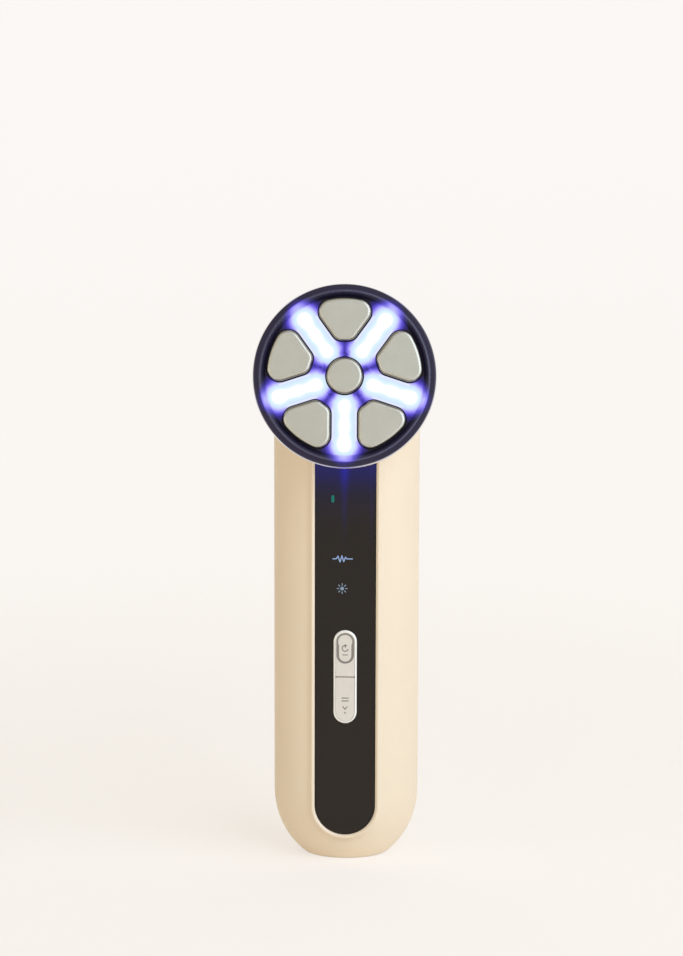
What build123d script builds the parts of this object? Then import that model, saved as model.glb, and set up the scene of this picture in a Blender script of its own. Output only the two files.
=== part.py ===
from build123d import *
import os
from math import asin, cos, radians, sin, sqrt, tan

# Hand-held facial toning device: a slim upright handle with a flat foot, and a round head
# that faces forward and a little up. The head carries five metal electrodes around a
# centre electrode, with rows of lights between them.
#
# Millimetres. +Z is up, the head and the keys face -Y, +X is to the right of someone who
# looks at the front. The origin is the middle of the charging socket, in the plane of the flat foot.
# "depth" below is the distance in front of the middle plane, so depth d lies at y = -d.

# ---------------------------------------------------------------- driving dimensions

# Handle
HALF_WIDTH = 19.6
HALF_DEPTH = 14.0
TOP_CENTRE_Z = 133.4        # centre of the round upper end
FOOT_CENTRE_Z = 18.1        # centre of the elliptical lower end, which the foot cuts flat
FOOT_SEMI_HEIGHT = 21.8
WALL = 1.8
FOOT_EDGE_ROUND = 3.0
FOOT_TRIM = 0.02            # cut away under the foot, which leaves it truly flat
SEAM_CHAMFER = 0.18
LIP_GAP = 0.2
LIP_WALL = 0.8
LIP_HEIGHT = 1.2
LIP_ROOT = 1.5

# Head: heights are along the head's own axis, 0 at the crest of the ring
HEAD_FRONT_DEPTH = 30.0
HEAD_CENTRE_Z = 136.3
HEAD_TILT = 10.5
RING_RADIUS = 23.6
CUP_RADIUS = 23.9
CUP_RIM = -1.15
CUP_STRAIGHT = -8.4
CUP_END = -16.5
NECK_RADIUS = 18.0
NECK_END = -27.5
NECK_BLEND = 2.5
MOUTH_RADIUS = 22.65
NECK_BORE = 16.3
NECK_BORE_TOP = -14.5
MOUTH_ABOVE = 1.0
LEDGE_RADIUS = 20.0
HEAD_BOSS_RADIUS = 2.2

# Ring in the mouth of the cup
RING_BORE = 20.6
RING_EDGE = 0.2
GASKET_BORE = 20.75
RING_ROUND = 0.35
BEAD_RADIUS = 21.85
BEAD_HALF = 0.3
BAND_LEVEL = -0.28
BAND_FALL = 0.06
LIP_BACK = -1.65
RING_SEAT = -1.0
RING_SKIRT_OUTER = 22.55
RING_SKIRT_INNER = 21.3
RING_SKIRT_END = -6.4

# Head stack
WINDOW_TOP = -2.0
WINDOW_THICK = 1.4
WINDOW_RADIUS = 21.2
ELECTRODE_TOP = 0.3
ELECTRODE_ROUND = 0.85
ELECTRODE_RADIUS = 20.15
ELECTRODE_INNER = 9.1
CHANNEL_HALF = 3.6          # from a row of lights to the electrode beside it
OUTER_CORNER = 3.25
INNER_CORNER = 2.6
CENTRE_RADIUS = 4.7
SEAL_WALL = 0.35
FLANGE_STEP = 0.7
FLANGE_THICK = 0.65
FLANGE_GAP = 0.05
REFLECTOR_TOP = -4.15
REFLECTOR_RADIUS = 21.0
LED_BOARD_TOP = -6.5
LED_BOARD_THICK = 1.2
LED_BOARD_RADIUS = 22.4
LED_RADII = (7.8, 12.9, 18.0)
LED_SIZE = 2.0
LED_HEIGHT = 0.7
SLOT_HALF = 2.6
SLOT_START = 5.9
SLOT_END = 19.9
HEAD_SCREW_RADIUS = 15.2
HEAD_SCREW_TURNS = (0, 144, 216)
HEAD_SCREW_SHANK = 0.8
HEAD_SCREW_HEAD = 1.6
HEAD_SCREW_HEAD_HEIGHT = 0.8
HEAD_SCREW_LENGTH = 7.0
CONTACT_AT = 11.6
CONTACT_RADIUS = 0.6
SEAL_HEIGHT = 1.5

# Front panel and the raised frame round it
PANEL_HALF = 8.15
PANEL_FOOT_Z = 16.4
PANEL_TOP_Z = 112.3
PANEL_DEPTH = 12.75
PANEL_THICK = 1.3
TAPE_THICK = 0.2
TAPE_WIDTH = 1.6
TAPE_INSET = 0.3
PANEL_CHAMFER = 0.12
FRAME_CREST = 13.4
FRAME_CREST_GROW = 0.8
FRAME_CREST_ROUND = 0.4
FRAME_FOOT = 11.2
FRAME_FOOT_GROW = 3.2
FRAME_HOLLOW = 0.24         # how far the outer flank curves in
FRAME_LIP_STEP = 0.05
FRAME_RISE = 7.5            # how far the frame runs on into the neck
FLOOR_THICK = 1.4

# Keys
KEYS_Z = 52.2
KEYS_LENGTH = 25.6
KEYS_HALF = 3.1
BEZEL_DEPTH = 13.2
BEZEL_RIM = 0.5
BEZEL_CHAMFER = 0.3
BEZEL_FLANGE = 1.0
BEZEL_FLANGE_GROW = 1.0
KEY_FLANGE = 0.8
KEY_REST_GAP = 0.05
KEY_DEPTH = 13.1
KEY_CLEARANCE = 0.06
KEY_GAP = 0.2
KEY_ROUND = 0.08
KEY_CORNER = 0.35
KEY_TRAVEL = 0.4
THUMB_HALF = 2.36           # oval groove on the upper key, round a waisted island
THUMB_LENGTH = 8.4
THUMB_HEAD = 1.9
THUMB_WAIST = 1.65
THUMB_GROOVE_TOP = 0.48
THUMB_GROOVE_FOOT = 0.6
THUMB_GROOVE_DEEP = 0.22
THUMB_TOP_MARGIN = 0.72

# Electronics in the handle
BOARD_DEPTH = 2.8
BOARD_THICK = 1.2
BOARD_HALF = 14.0
BOARD_LOW_Z = 3.2
BOARD_HIGH_Z = 115.4
SWITCH_SIDE = 4.5
SWITCH_HEIGHT = 2.0
SWITCH_WELL = 0.95
PLUNGER_RADIUS = 1.1
PLUNGER_PAD = 0.2
SHELL_SCREWS = ((-5.6, 24.0), (5.6, 24.0), (-5.6, 106.0), (5.6, 106.0))
BOSS_RADIUS = 2.6
SCREW_RADIUS = 1.0
SCREW_HEAD_RADIUS = 1.9
SCREW_HEAD_HEIGHT = 0.9
PILOT_DEPTH = 11.0
SCREW_LENGTH = 14.0
BOARD_INSET = 3.0
TRAY_Y = 1.2
TRAY_THICK = 1.0
TRAY_POSTS = ((-11.5, 34.5), (11.5, 34.5), (-11.5, 87.5), (11.5, 87.5))
TRAY_POST_RADIUS = 2.0
TRAY_SCREW_RADIUS = 0.8
TRAY_SCREW_LENGTH = 4.0
TRAY_MIDDLE_Z = 61.0
TRAY_SIZE = (28.4, 58.0)
TRAY_NOTCH = (9.0, 12.0)
BATTERY_LOW_Z = 37.5
BATTERY_SIZE = (24.0, 6.5, 46.0)
BATTERY_TAPE_MARGIN = 1.0
LEAD_X = (-1.4, 1.4)
LEAD_RADIUS = 0.6
LEAD_BEND = 1.6
LEAD_RISE = 4.0
LEAD_DROP = 3.5
PLUG_LOW_Z = 93.0
PLUG_SIZE = (6.4, 3.8, 5.0)
PLUG_Y = 0.3
GUIDE_X = -0.9
GUIDE_Z = 88.3
GUIDE_SIZE = (8.4, 28.6)
LENS_DEEP = 5.0
MARK_LED_SIZE = 0.8
TRANSFORMER_Z = 33.6
TRANSFORMER_SIZE = (11.0, 5.6, 8.6)
CORE_WALL = 1.4
CAPACITORS = ((-10.6, 27.2), (10.6, 27.2))
CAPACITOR_RADIUS = 2.4
CAPACITOR_HEIGHT = 5.0
CONTROLLER_AT = (9.2, 92.0)
CONTROLLER_SIDE = 5.0
DRIVER_AT = (0.0, 64.0)
CHARGER_AT = (0.0, 16.0)
CHIP_HEIGHT = 0.9
CABLE_WIDTH = 10.0
CABLE_THICK = 0.3
CABLE_DROP = -5.0
CABLE_FALL = 1.0
CABLE_MID_Y = -13.0
CABLE_END_Y = -3.8
CABLE_TURN_Z = 123.4
CABLE_BEND = 2.5
SOCKET_HEIGHT = 2.0
SOCKET_DEEP = 4.0
SOCKET_SIDE = 1.0

# Small gaps
EASE = 0.1
HOLE_EASE = 0.02
NECK_SLACK = 1.2

# Charging socket in the foot
PORT_Y = 0.0
PORT_SIZE = (8.94, 3.16, 7.3)
PORT_LOW_Z = 0.5
PORT_WALL = 0.3
TONGUE_SIZE = (6.7, 0.7)
TONGUE_INSET = 0.8
PORT_EASE = 0.28
PLATE_SIZE = (15.0, 9.0)
PLATE_INSET = 0.2
PLATE_FLANGE = 0.8
PLATE_FLANGE_GROW = 1.0

# ---------------------------------------------------------------- frames and helpers

tilt = radians(HEAD_TILT)
head_normal = (0, -cos(tilt), sin(tilt))
head_origin = (0, -HEAD_FRONT_DEPTH, HEAD_CENTRE_Z)
HEAD = Plane(origin=head_origin, x_dir=(1, 0, 0), z_dir=head_normal)
HEAD_SECTION = Plane(origin=head_origin, x_dir=(1, 0, 0), z_dir=(0, -sin(tilt), -cos(tilt)))
HEAD_AXIS = Axis(head_origin, head_normal)
ELECTRODES = {
    "electrode_top": 0,
    "electrode_upper_right": 72,
    "electrode_lower_right": 144,
    "electrode_lower_left": 216,
    "electrode_upper_left": 288,
}
FAN = 36                    # from an electrode's middle to the next row of lights
LED_ROWS = (36, 108, 180, 252, 324)

os.makedirs("parts", exist_ok=True)


def finish(piece, label):
    """Label a finished piece and write it."""
    piece.part.label = label
    export_step(piece.part, f"parts/{label}.step")


def front(depth):
    """The plane at this depth, seen from the front: x to the right, y up."""
    return Plane.XZ.offset(depth)


def at_turn(level, turn):
    """The head's plane at this height, turned clockwise as seen from the front."""
    spin = radians(turn)
    x_dir = HEAD.x_dir * cos(spin) - HEAD.y_dir * sin(spin)
    return Plane(origin=HEAD.offset(level).origin, x_dir=x_dir, z_dir=HEAD.z_dir)


def handle_side(inset):
    """The right half of the handle's front outline: elliptical lower end, straight side, round top."""
    side = HALF_WIDTH - inset
    with BuildLine() as curve:
        foot = EllipticalCenterArc((0, FOOT_CENTRE_Z), side, FOOT_SEMI_HEIGHT - inset,
                                   start_angle=270, arc_size=90)
        right = Line(foot @ 1, (side, TOP_CENTRE_Z))
        CenterArc((0, TOP_CENTRE_Z), side, start_angle=0, arc_size=90)
    return curve.line


def handle_curve(inset):
    """The handle's whole front outline."""
    with BuildLine() as curve:
        add(handle_side(inset))
        mirror(about=Plane.YZ)
    return curve.line


def handle_form(inset, half=None):
    """The handle's form, inset from its outer skin: turned, then flattened to its depth. Half a
    form has a chamfer where it meets the other half."""
    with BuildPart() as form:
        with BuildSketch(Plane.XZ):
            with BuildLine():
                add(handle_side(inset))
                Line((0, TOP_CENTRE_Z + HALF_WIDTH - inset), (0, FOOT_CENTRE_Z - FOOT_SEMI_HEIGHT + inset))
            make_face()
        revolve(axis=Axis.Z)
        split(bisect_by=Plane.XY.offset(inset - FOOT_TRIM), keep=Keep.TOP)
        if not inset:
            fillet(form.faces().sort_by(Axis.Z)[0].edges(), FOOT_EDGE_ROUND)
        if half:
            split(bisect_by=Plane.XZ, keep=half)
            chamfer(form.faces().filter_by(Plane.XZ)[0].outer_wire().edges(), SEAM_CHAMFER)
        scale(by=(1, (HALF_DEPTH - inset) / (HALF_WIDTH - inset), 1))
        split(bisect_by=Plane.XY.offset(inset), keep=Keep.TOP)
    return form.part


def panel_face(grow, top=PANEL_TOP_Z):
    """The panel's outline, grown evenly: straight sides, a round foot and a flat top."""
    half = PANEL_HALF + grow
    with BuildSketch() as outline:
        with BuildLine():
            foot = ThreePointArc((-half, PANEL_FOOT_Z), (0, PANEL_FOOT_Z - half), (half, PANEL_FOOT_Z))
            Polyline(foot @ 1, (half, top), (-half, top), foot @ 0)
        make_face()
    return outline.sketch


def frame_section(mirrored):
    """The raised frame cut across: a sloped lip beside the panel, a round crest, a hollow flank."""
    inner = (PANEL_HALF, -PANEL_DEPTH - FRAME_LIP_STEP)
    crest = (PANEL_HALF + FRAME_CREST_GROW, -FRAME_CREST)
    outer = (PANEL_HALF + FRAME_FOOT_GROW, -FRAME_FOOT)
    with BuildSketch() as section:
        with BuildLine():
            Line(inner, crest)
            SagittaArc(crest, outer, FRAME_HOLLOW)
            Polyline(outer, (outer[0], -floor_back), (inner[0], -floor_back), inner)
        make_face()
        fillet(section.vertices().sort_by(Axis.Y)[0], FRAME_CREST_ROUND)
        if mirrored:
            mirror(about=Plane.YZ, mode=Mode.REPLACE)
    return section.sketch


def upright_slot(half, length, z):
    """A slot that stands on end, with round ends."""
    with BuildSketch() as slot:
        with Locations((0, z)):
            SlotOverall(length, 2 * half, rotation=90)
    return slot.sketch


def revolved(points):
    """A turned piece of the head from its profile, as (radius, height) points."""
    with BuildPart() as turned:
        with BuildSketch(HEAD_SECTION):
            with BuildLine():
                Polyline(*points, close=True)
            make_face()
        revolve(axis=HEAD_AXIS)
    return turned.part


def electrode_face(grow=0.0):
    """One outer electrode: sides parallel to the rows of lights, an arc outside, round corners."""
    apex = CHANNEL_HALF / sin(radians(FAN))
    inner = (ELECTRODE_INNER - apex) * tan(radians(FAN))
    swing = radians(FAN) - asin(CHANNEL_HALF / ELECTRODE_RADIUS)
    outer = (ELECTRODE_RADIUS * sin(swing), ELECTRODE_RADIUS * cos(swing))
    with BuildSketch() as outline:
        with BuildLine():
            base = Line((-inner, ELECTRODE_INNER), (inner, ELECTRODE_INNER))
            right = Line(base @ 1, outer)
            arc = ThreePointArc(right @ 1, (0, ELECTRODE_RADIUS), (-outer[0], outer[1]))
            Line(arc @ 1, base @ 0)
        make_face()
        fillet(outline.vertices().group_by(Axis.Y)[0], INNER_CORNER)
        fillet(outline.vertices().group_by(Axis.Y)[-1], OUTER_CORNER)
        if grow:
            offset(amount=grow)
    return outline.sketch


# ---------------------------------------------------------------- shells

floor_face = PANEL_DEPTH - PANEL_THICK - TAPE_THICK
floor_back = floor_face - FLOOR_THICK
board_back = BOARD_DEPTH - BOARD_THICK
battery_front = TRAY_Y + TRAY_THICK + TAPE_THICK
battery_z = BATTERY_LOW_Z + BATTERY_SIZE[2] / 2
battery_top = BATTERY_LOW_Z + BATTERY_SIZE[2]
window_back = WINDOW_TOP - WINDOW_THICK
flange_back = window_back - FLANGE_THICK - FLANGE_GAP
board_seat = LED_BOARD_TOP - LED_BOARD_THICK
switch_front = BOARD_DEPTH + SWITCH_HEIGHT
switch_top = switch_front + PLUNGER_RADIUS
key_z = {"power": KEYS_Z + KEYS_LENGTH / 4, "mode": KEYS_Z - KEYS_LENGTH / 4}

# The marks that light up behind the panel: name, middle (x, z) and size (x, z)
LIT_MARKS = {
    "status": ((-3.4, 100.9), (0.9, 2.0)),
    "pulse": ((-0.8, 84.5), (5.4, 2.0)),
    "light": ((-0.9, 76.4), (5.0, 2.0)),
}


def joins_neck(edge):
    """Whether an edge runs where the neck meets the handle."""
    points = [HEAD.to_local_coords(edge @ (step / 4)) for step in range(5)]
    return all(
        abs(sqrt(point.X**2 + point.Y**2) - NECK_RADIUS) < NECK_SLACK
        and CUP_STRAIGHT > point.Z > NECK_END + NECK_SLACK
        for point in points
    )


# Front shell: the handle's front half and the head's cup, moulded in one
with BuildPart() as front_shell:
    add(handle_form(0, half=Keep.TOP))
    with BuildSketch(HEAD_SECTION):
        with BuildLine():
            rim = Line((0, CUP_RIM), (CUP_RADIUS, CUP_RIM))
            side = Line(rim @ 1, (CUP_RADIUS, CUP_STRAIGHT))
            sweep_in = Spline(side @ 1, (NECK_RADIUS, CUP_END), tangents=((0, -1), (0, -1)))
            neck = Line(sweep_in @ 1, (NECK_RADIUS, NECK_END))
            end = Line(neck @ 1, (0, NECK_END))
            Line(end @ 1, rim @ 0)
        make_face()
    revolve(axis=HEAD_AXIS)
    fillet(front_shell.edges().filter_by(joins_neck), NECK_BLEND)
    # Raised frame round the panel: two arms that run up into the neck, and a round foot
    for mirrored in (False, True):
        with BuildSketch(Plane.XY.offset(PANEL_FOOT_Z)):
            add(frame_section(mirrored))
        extrude(amount=PANEL_TOP_Z + FRAME_RISE - PANEL_FOOT_Z)
    with BuildSketch(Plane.XY.offset(PANEL_FOOT_Z)):
        add(frame_section(False))
    revolve(axis=Axis((0, 0, PANEL_FOOT_Z), (0, 1, 0)), revolution_arc=180)
    split(bisect_by=Plane.XZ, keep=Keep.TOP)
    # Hollow handle and hollow head
    add(handle_form(WALL), mode=Mode.SUBTRACT)
    add(revolved([(0, MOUTH_ABOVE), (MOUTH_RADIUS, MOUTH_ABOVE), (MOUTH_RADIUS, board_seat),
                  (LEDGE_RADIUS, board_seat), (NECK_BORE, NECK_BORE_TOP), (NECK_BORE, NECK_END),
                  (0, NECK_END)]), mode=Mode.SUBTRACT)
    for turn in HEAD_SCREW_TURNS:
        with BuildSketch(at_turn(board_seat, turn)):
            with Locations((0, HEAD_SCREW_RADIUS)):
                Circle(HEAD_BOSS_RADIUS)
        extrude(amount=CUP_END - board_seat)
        with BuildSketch(at_turn(board_seat, turn)):
            with Locations((0, HEAD_SCREW_RADIUS)):
                Circle(HEAD_SCREW_SHANK + HOLE_EASE)
        extrude(amount=NECK_BORE_TOP - board_seat, mode=Mode.SUBTRACT)
    # Floor behind the panel, with the bosses that hold the board
    with BuildSketch(front(floor_back)):
        add(panel_face(WALL))
    extrude(amount=FLOOR_THICK + EASE)
    with BuildSketch(front(BOARD_DEPTH)):
        with Locations(*SHELL_SCREWS):
            Circle(BOSS_RADIUS)
    extrude(amount=floor_back - BOARD_DEPTH + EASE)
    # Pocket for the panel
    with BuildSketch(front(floor_face)):
        add(panel_face(EASE / 2))
    extrude(amount=HALF_DEPTH - floor_face + EASE, mode=Mode.SUBTRACT)
    # Holes in the floor: screws, keys and the marks that light up
    with BuildSketch(front(floor_face)):
        with Locations(*SHELL_SCREWS):
            Circle(SCREW_HEAD_RADIUS + EASE)
    extrude(amount=-SCREW_HEAD_HEIGHT - EASE, mode=Mode.SUBTRACT)
    with BuildSketch(front(floor_face)):
        with Locations(*SHELL_SCREWS):
            Circle(SCREW_RADIUS + EASE)
    extrude(amount=BOARD_DEPTH - floor_face, mode=Mode.SUBTRACT)
    with BuildSketch(front(floor_face)):
        add(upright_slot(KEYS_HALF + EASE / 2, KEYS_LENGTH + EASE, KEYS_Z))
    extrude(amount=-FLOOR_THICK, mode=Mode.SUBTRACT)
    with BuildSketch(front(floor_face)):
        for place, size in LIT_MARKS.values():
            with Locations(place):
                Rectangle(size[0] + EASE, size[1] + EASE)
    extrude(amount=-FLOOR_THICK, mode=Mode.SUBTRACT)
    with BuildSketch(Plane.XY):
        with Locations((0, PORT_Y)):
            SlotOverall(PLATE_SIZE[0] + EASE, PLATE_SIZE[1] + EASE)
    extrude(amount=WALL, mode=Mode.SUBTRACT)
finish(front_shell, "front_shell")

# Locating lip that stands inside the joint between the shells
with BuildPart() as joint_lip:
    with BuildSketch(front(-LIP_ROOT)):
        add(handle_curve(WALL + LIP_GAP))
        make_face()
    extrude(amount=LIP_ROOT + LIP_HEIGHT)
    with BuildSketch(front(-LIP_ROOT)):
        add(handle_curve(WALL - LIP_GAP))
        make_face()
    extrude(amount=LIP_ROOT)
    with BuildSketch(front(-LIP_ROOT)):
        add(handle_curve(WALL + LIP_GAP + LIP_WALL))
        make_face()
    extrude(amount=LIP_ROOT + LIP_HEIGHT, mode=Mode.SUBTRACT)
    split(bisect_by=Plane.XY.offset(WALL + LIP_HEIGHT), keep=Keep.TOP)

# Rear shell
with BuildPart() as rear_shell:
    add(handle_form(0, half=Keep.BOTTOM))
    add(handle_form(WALL), mode=Mode.SUBTRACT)
    add(joint_lip.part)
    boss_front = board_back - EASE / 2
    with BuildSketch(front(boss_front)):
        with Locations(*SHELL_SCREWS):
            Circle(BOSS_RADIUS)
    extrude(amount=-(boss_front + HALF_DEPTH - WALL + EASE))
    with BuildSketch(front(boss_front)):
        with Locations(*SHELL_SCREWS):
            Circle(SCREW_RADIUS + HOLE_EASE)
    extrude(amount=-PILOT_DEPTH, mode=Mode.SUBTRACT)
    with BuildSketch(Plane.XY):
        with Locations((0, PORT_Y)):
            SlotOverall(PLATE_SIZE[0] + EASE, PLATE_SIZE[1] + EASE)
    extrude(amount=WALL, mode=Mode.SUBTRACT)
finish(rear_shell, "rear_shell")

# Plate in the foot, round the charging socket
with BuildPart() as port_plate:
    with BuildSketch(Plane.XY.offset(PLATE_INSET)):
        with Locations((0, PORT_Y)):
            SlotOverall(*PLATE_SIZE)
    extrude(amount=WALL + EASE - PLATE_INSET)
    with BuildSketch(Plane.XY.offset(WALL + HOLE_EASE)):
        with Locations((0, PORT_Y)):
            SlotOverall(PLATE_SIZE[0] + 2 * PLATE_FLANGE_GROW, PLATE_SIZE[1] + 2 * PLATE_FLANGE_GROW)
    extrude(amount=PLATE_FLANGE)
    chamfer(port_plate.faces().sort_by(Axis.Z)[0].edges(), PLATE_INSET)
    with BuildSketch(Plane.XY):
        with Locations((0, PORT_Y)):
            SlotOverall(PORT_SIZE[0] + 2 * PORT_EASE, PORT_SIZE[1] + 2 * PORT_EASE)
    extrude(amount=WALL + PLATE_FLANGE + EASE, mode=Mode.SUBTRACT)
finish(port_plate, "port_plate")

# ---------------------------------------------------------------- head

# Dark ring that closes the cup: a flat outer band, a bead and a slope down to the window
band_edge = BAND_LEVEL - BAND_FALL
with BuildPart() as head_ring:
    with BuildSketch(HEAD_SECTION):
        with BuildLine():
            lip = Line((RING_SKIRT_INNER, LIP_BACK), (RING_BORE, LIP_BACK))
            edge = Line(lip @ 1, (RING_BORE, LIP_BACK + RING_EDGE))
            slope = Line(edge @ 1, (BEAD_RADIUS - BEAD_HALF, -BEAD_HALF))
            bead = ThreePointArc(slope @ 1, (BEAD_RADIUS, 0), (BEAD_RADIUS + BEAD_HALF, BAND_LEVEL))
            band = Line(bead @ 1, (RING_RADIUS - RING_ROUND, band_edge))
            round_edge = TangentArc(band @ 1, (RING_RADIUS, band_edge - RING_ROUND), tangent=(1, 0))
            Polyline(round_edge @ 1, (RING_RADIUS, RING_SEAT), (RING_SKIRT_OUTER, RING_SEAT),
                     (RING_SKIRT_OUTER, RING_SKIRT_END), (RING_SKIRT_INNER, RING_SKIRT_END), lip @ 0)
        make_face()
    revolve(axis=HEAD_AXIS)
finish(head_ring, "head_ring")

# Soft gasket between the ring's lip and the window
with BuildPart() as head_gasket:
    add(revolved([(GASKET_BORE, WINDOW_TOP + HOLE_EASE), (WINDOW_RADIUS, WINDOW_TOP + HOLE_EASE),
                  (WINDOW_RADIUS, LIP_BACK - HOLE_EASE), (GASKET_BORE, LIP_BACK - HOLE_EASE)]))
finish(head_gasket, "head_gasket")

# Smoked window, open where the electrodes stand
with BuildPart() as light_window:
    with BuildSketch(HEAD.offset(window_back)):
        Circle(WINDOW_RADIUS)
    extrude(amount=WINDOW_THICK)
    for turn in ELECTRODES.values():
        with BuildSketch(at_turn(window_back, turn)):
            add(electrode_face(SEAL_WALL))
        extrude(amount=WINDOW_THICK, mode=Mode.SUBTRACT)
    with BuildSketch(HEAD.offset(window_back)):
        Circle(CENTRE_RADIUS + SEAL_WALL)
    extrude(amount=WINDOW_THICK, mode=Mode.SUBTRACT)
finish(light_window, "light_window")

# Outer electrodes: a cap through the window and a wider flange behind it
for label, turn in ELECTRODES.items():
    with BuildPart() as electrode:
        with BuildSketch(at_turn(window_back, turn)):
            add(electrode_face())
        extrude(amount=ELECTRODE_TOP - window_back)
        fillet(electrode.faces().group_by(HEAD_AXIS)[-1].edges(), ELECTRODE_ROUND)
        with BuildSketch(at_turn(flange_back, turn)):
            add(electrode_face(FLANGE_STEP))
        extrude(amount=FLANGE_THICK)
        with BuildSketch(at_turn(flange_back, turn)):
            add(electrode_face())
        extrude(amount=window_back - flange_back)
    finish(electrode, label)

with BuildPart() as electrode_center:
    with BuildSketch(HEAD.offset(window_back)):
        Circle(CENTRE_RADIUS)
    extrude(amount=ELECTRODE_TOP - window_back)
    fillet(electrode_center.faces().group_by(HEAD_AXIS)[-1].edges(), ELECTRODE_ROUND)
    with BuildSketch(HEAD.offset(flange_back)):
        Circle(CENTRE_RADIUS + FLANGE_STEP)
    extrude(amount=FLANGE_THICK)
    with BuildSketch(HEAD.offset(flange_back)):
        Circle(CENTRE_RADIUS)
    extrude(amount=window_back - flange_back)
finish(electrode_center, "electrode_center")

# Soft seals round the six electrodes
with BuildPart() as electrode_seals:
    for turn in ELECTRODES.values():
        with BuildSketch(at_turn(window_back, turn)):
            add(electrode_face(SEAL_WALL))
        extrude(amount=SEAL_HEIGHT)
        with BuildSketch(at_turn(window_back, turn)):
            add(electrode_face())
        extrude(amount=SEAL_HEIGHT, mode=Mode.SUBTRACT)
    with BuildSketch(HEAD.offset(window_back)):
        Circle(CENTRE_RADIUS + SEAL_WALL)
        Circle(CENTRE_RADIUS, mode=Mode.SUBTRACT)
    extrude(amount=SEAL_HEIGHT)
finish(electrode_seals, "electrode_seals")

# White plate with a light channel for each row
with BuildPart() as reflector:
    with BuildSketch(HEAD.offset(LED_BOARD_TOP + EASE / 2)) as plate:
        Circle(REFLECTOR_RADIUS)
        for turn in LED_ROWS:
            with Locations(Rotation(0, 0, -turn) * Pos(0, (SLOT_START + SLOT_END) / 2)):
                SlotOverall(SLOT_END - SLOT_START, 2 * SLOT_HALF, rotation=90, mode=Mode.SUBTRACT)
        for turn in ELECTRODES.values():
            with Locations(Rotation(0, 0, -turn) * Pos(0, CONTACT_AT)):
                Circle(CONTACT_RADIUS + EASE, mode=Mode.SUBTRACT)
        for turn in HEAD_SCREW_TURNS:
            with Locations(Rotation(0, 0, -turn) * Pos(0, HEAD_SCREW_RADIUS)):
                Circle(HEAD_SCREW_HEAD + EASE, mode=Mode.SUBTRACT)
        Circle(CONTACT_RADIUS + EASE, mode=Mode.SUBTRACT)
    extrude(amount=REFLECTOR_TOP - LED_BOARD_TOP - EASE / 2)
finish(reflector, "reflector")

with BuildPart() as led_board:
    with BuildSketch(HEAD.offset(board_seat)):
        Circle(LED_BOARD_RADIUS)
        for turn in HEAD_SCREW_TURNS:
            with Locations(Rotation(0, 0, -turn) * Pos(0, HEAD_SCREW_RADIUS)):
                Circle(HEAD_SCREW_SHANK + HOLE_EASE, mode=Mode.SUBTRACT)
    extrude(amount=LED_BOARD_THICK)
finish(led_board, "led_board")

# Fifteen lights, three in each row
with BuildPart() as leds:
    with BuildSketch(HEAD.offset(LED_BOARD_TOP)):
        for turn in LED_ROWS:
            for radius in LED_RADII:
                with Locations(Rotation(0, 0, -turn) * Pos(0, radius)):
                    Rectangle(LED_SIZE, LED_SIZE)
    extrude(amount=LED_HEIGHT)
    chamfer(leds.faces().group_by(HEAD_AXIS)[-1].edges(), LED_HEIGHT / 4)
finish(leds, "leds")

# Sprung contacts that carry the current from the board to the electrodes
with BuildPart() as electrode_contacts:
    with BuildSketch(HEAD.offset(LED_BOARD_TOP)):
        Circle(CONTACT_RADIUS)
        for turn in ELECTRODES.values():
            with Locations(Rotation(0, 0, -turn) * Pos(0, CONTACT_AT)):
                Circle(CONTACT_RADIUS)
    extrude(amount=flange_back - LED_BOARD_TOP)
    chamfer(electrode_contacts.faces().group_by(HEAD_AXIS)[-1].edges(), CONTACT_RADIUS / 3)
finish(electrode_contacts, "electrode_contacts")

with BuildPart() as head_screws:
    for turn in HEAD_SCREW_TURNS:
        with BuildSketch(at_turn(LED_BOARD_TOP, turn)):
            with Locations((0, HEAD_SCREW_RADIUS)):
                Circle(HEAD_SCREW_HEAD)
        extrude(amount=HEAD_SCREW_HEAD_HEIGHT)
        with BuildSketch(at_turn(LED_BOARD_TOP, turn)):
            with Locations((0, HEAD_SCREW_RADIUS)):
                Circle(HEAD_SCREW_SHANK)
        extrude(amount=-HEAD_SCREW_LENGTH)
finish(head_screws, "head_screws")

# ---------------------------------------------------------------- front panel and keys

with BuildPart() as control_panel:
    with BuildSketch(front(PANEL_DEPTH - PANEL_THICK)):
        add(panel_face(0))
    extrude(amount=PANEL_THICK)
    with BuildSketch(front(PANEL_DEPTH)):
        add(upright_slot(KEYS_HALF + EASE / 2, KEYS_LENGTH + EASE, KEYS_Z))
    extrude(amount=-PANEL_THICK, mode=Mode.SUBTRACT)
    chamfer(control_panel.faces().sort_by(Axis.Y)[0].edges(), PANEL_CHAMFER)
finish(control_panel, "control_panel")

# Thin adhesive that holds the panel to the floor
with BuildPart() as panel_tape:
    with BuildSketch(front(floor_face)):
        add(panel_face(-TAPE_INSET))
    extrude(amount=TAPE_THICK)
    with BuildSketch(front(floor_face)):
        add(panel_face(-TAPE_INSET - TAPE_WIDTH, top=PANEL_TOP_Z - 2 * TAPE_WIDTH))
    extrude(amount=TAPE_THICK, mode=Mode.SUBTRACT)
finish(panel_tape, "panel_tape")

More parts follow.
